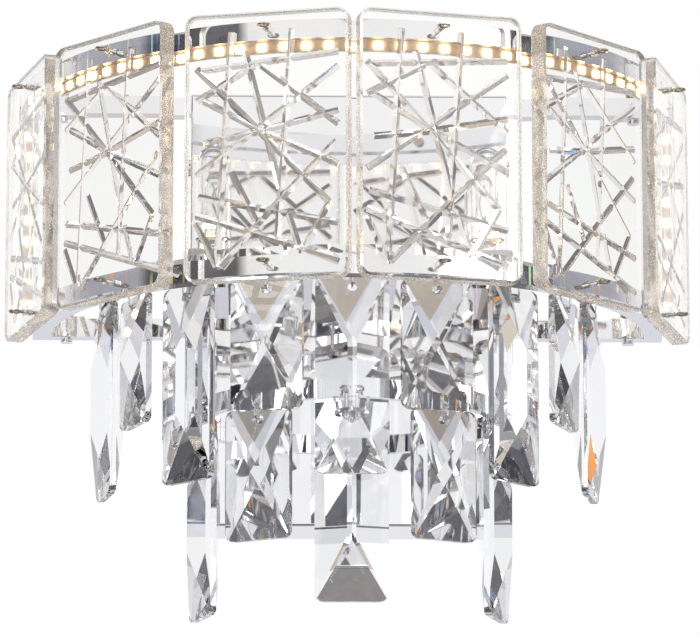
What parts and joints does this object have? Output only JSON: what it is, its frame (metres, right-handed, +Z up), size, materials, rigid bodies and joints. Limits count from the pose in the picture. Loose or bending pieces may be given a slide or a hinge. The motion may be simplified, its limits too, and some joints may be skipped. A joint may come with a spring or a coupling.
{
  "type": "crystal wall sconce",
  "caption": "Half-round crystal wall light: chrome hoops carry thick engraved glass panels and LED tape, with faceted crystal pendants in two tiers round a chrome wall box with lamps.",
  "frame": {"origin": "middle of the wall bracket's two slots, on the wall plane", "axes": "+X to the right of someone facing the light, +Y into the wall, +Z up"},
  "size_m": [0.3002, 0.1507, 0.2436],
  "materials": {
    "crystal": "clear polished lead crystal with cut facets",
    "chrome": "bright mirror chrome plate",
    "brass": "polished brass",
    "pin_wire": "pale gilt wire",
    "steel": "zinc plated steel",
    "led_tape": "flexible tape, warm tan",
    "led_chip": "warm white LED lens",
    "ceramic": "unglazed white ceramic",
    "bulb_glass": "clear bulb glass",
    "filament": "bare wire",
    "driver_case": "moulded white case",
    "terminal_plastic": "moulded nylon",
    "lead_jacket": "white lead jacket"
  },
  "bodies": {
    "root": {"bottom_hoop": "chrome", "bracket_studs": "steel", "chassis_nuts": "steel", "chassis_plate": "steel", "chassis_spacers": "steel", "crystal_panel_1": "crystal", "crystal_panel_2": "crystal", "crystal_panel_3": "crystal", "crystal_panel_4": "crystal", "crystal_panel_5": "crystal", "crystal_panel_6": "crystal", "driver_leads": "lead_jacket", "earth_terminal": "brass", "end_post_screws": "chrome", "hoop_bar_screws": "steel", "hoop_led_chips": "led_chip", "hoop_led_tape": "led_tape", "knurled_nuts": "brass", "lamp_arm_screws": "chrome", "lamp_arms": "chrome", "lamp_leads": "lead_jacket", "led_band": "chrome", "led_driver": "driver_case", "left_end_post": "chrome", "left_lamp_holder": "ceramic", "lower_pendant_links": "chrome", "lower_pendant_ring": "chrome", "lower_ring_screws": "chrome", "panel_eye_pins": "pin_wire", "panel_pin_nuts": "pin_wire", "post_led_chips": "led_chip", "post_led_tapes": "led_tape", "right_end_post": "chrome", "right_lamp_holder": "ceramic", "ring_spokes": "chrome", "terminal_block": "terminal_plastic", "top_hoop": "chrome", "upper_pendant_links": "chrome", "upper_pendant_ring": "chrome", "wall_box": "chrome", "wall_box_screws": "chrome", "wall_bracket": "steel"},
    "upper_pendant_1": {"upper_pendant_1": "crystal"},
    "upper_pendant_2": {"upper_pendant_2": "crystal"},
    "upper_pendant_3": {"upper_pendant_3": "crystal"},
    "upper_pendant_4": {"upper_pendant_4": "crystal"},
    "upper_pendant_5": {"upper_pendant_5": "crystal"},
    "upper_pendant_6": {"upper_pendant_6": "crystal"},
    "upper_pendant_7": {"upper_pendant_7": "crystal"},
    "upper_pendant_8": {"upper_pendant_8": "crystal"},
    "upper_pendant_9": {"upper_pendant_9": "crystal"},
    "lower_pendant_1": {"lower_pendant_1": "crystal"},
    "lower_pendant_2": {"lower_pendant_2": "crystal"},
    "lower_pendant_3": {"lower_pendant_3": "crystal"},
    "lower_pendant_4": {"lower_pendant_4": "crystal"},
    "lower_pendant_5": {"lower_pendant_5": "crystal"},
    "left_bulb": {"left_bulb_glass": "bulb_glass", "left_bulb_filament": "filament"},
    "right_bulb": {"right_bulb_glass": "bulb_glass", "right_bulb_filament": "filament"}
  },
  "joints": [
    {"name": "upper_pendant_1_tilt", "type": "hinge", "parent": "root", "child": "upper_pendant_1", "pos_m": [-0.10438, -0.02566, -0.04995], "axis": [-0.2079, 0.9781, 0], "range_deg": [-5, 15]},
    {"name": "upper_pendant_2_tilt", "type": "hinge", "parent": "root", "child": "upper_pendant_2", "pos_m": [-0.09129, -0.05935, -0.05295], "axis": [-0.3746, 0.9272, 0], "range_deg": [-5, 15]},
    {"name": "upper_pendant_3_tilt", "type": "hinge", "parent": "root", "child": "upper_pendant_3", "pos_m": [-0.06846, -0.08608, -0.05375], "axis": [-0.6561, 0.7547, 0], "range_deg": [-5, 15]},
    {"name": "upper_pendant_4_tilt", "type": "hinge", "parent": "root", "child": "upper_pendant_4", "pos_m": [-0.03555, -0.10489, -0.05445], "axis": [-0.9659, 0.2588, 0], "range_deg": [-5, 15]},
    {"name": "upper_pendant_5_tilt", "type": "hinge", "parent": "root", "child": "upper_pendant_5", "pos_m": [0, -0.111, -0.05445], "axis": [-1, 0, 0], "range_deg": [0, 15]},
    {"name": "upper_pendant_6_tilt", "type": "hinge", "parent": "root", "child": "upper_pendant_6", "pos_m": [0.03555, -0.10489, -0.05445], "axis": [-0.9659, -0.2588, 0], "range_deg": [-5, 15]},
    {"name": "upper_pendant_7_tilt", "type": "hinge", "parent": "root", "child": "upper_pendant_7", "pos_m": [0.06846, -0.08608, -0.05375], "axis": [-0.6561, -0.7547, 0], "range_deg": [-5, 15]},
    {"name": "upper_pendant_8_tilt", "type": "hinge", "parent": "root", "child": "upper_pendant_8", "pos_m": [0.09129, -0.05935, -0.05295], "axis": [-0.3746, -0.9272, 0], "range_deg": [-5, 15]},
    {"name": "upper_pendant_9_tilt", "type": "hinge", "parent": "root", "child": "upper_pendant_9", "pos_m": [0.10438, -0.02566, -0.04995], "axis": [-0.2079, -0.9781, 0], "range_deg": [-5, 15]},
    {"name": "lower_pendant_1_tilt", "type": "hinge", "parent": "root", "child": "lower_pendant_1", "pos_m": [-0.06227, -0.05182, -0.10645], "axis": [-0.2924, 0.9563, 0], "range_deg": [-3, 15]},
    {"name": "lower_pendant_2_tilt", "type": "hinge", "parent": "root", "child": "lower_pendant_2", "pos_m": [-0.03882, -0.08651, -0.10645], "axis": [-0.866, 0.5, 0], "range_deg": [-15, 15]},
    {"name": "lower_pendant_3_tilt", "type": "hinge", "parent": "root", "child": "lower_pendant_3", "pos_m": [0, -0.0995, -0.10645], "axis": [-1, 0, 0], "range_deg": [-15, 0]},
    {"name": "lower_pendant_4_tilt", "type": "hinge", "parent": "root", "child": "lower_pendant_4", "pos_m": [0.03882, -0.08651, -0.10645], "axis": [-0.866, -0.5, 0], "range_deg": [-15, 15]},
    {"name": "lower_pendant_5_tilt", "type": "hinge", "parent": "root", "child": "lower_pendant_5", "pos_m": [0.06227, -0.05182, -0.10645], "axis": [-0.2924, -0.9563, 0], "range_deg": [-3, 15]},
    {"name": "left_bulb_lift", "type": "slide", "parent": "root", "child": "left_bulb", "axis": [0, 0, 1], "range_m": [0, 0.02]},
    {"name": "right_bulb_lift", "type": "slide", "parent": "root", "child": "right_bulb", "axis": [0, 0, 1], "range_m": [0, 0.02]}
  ]
}
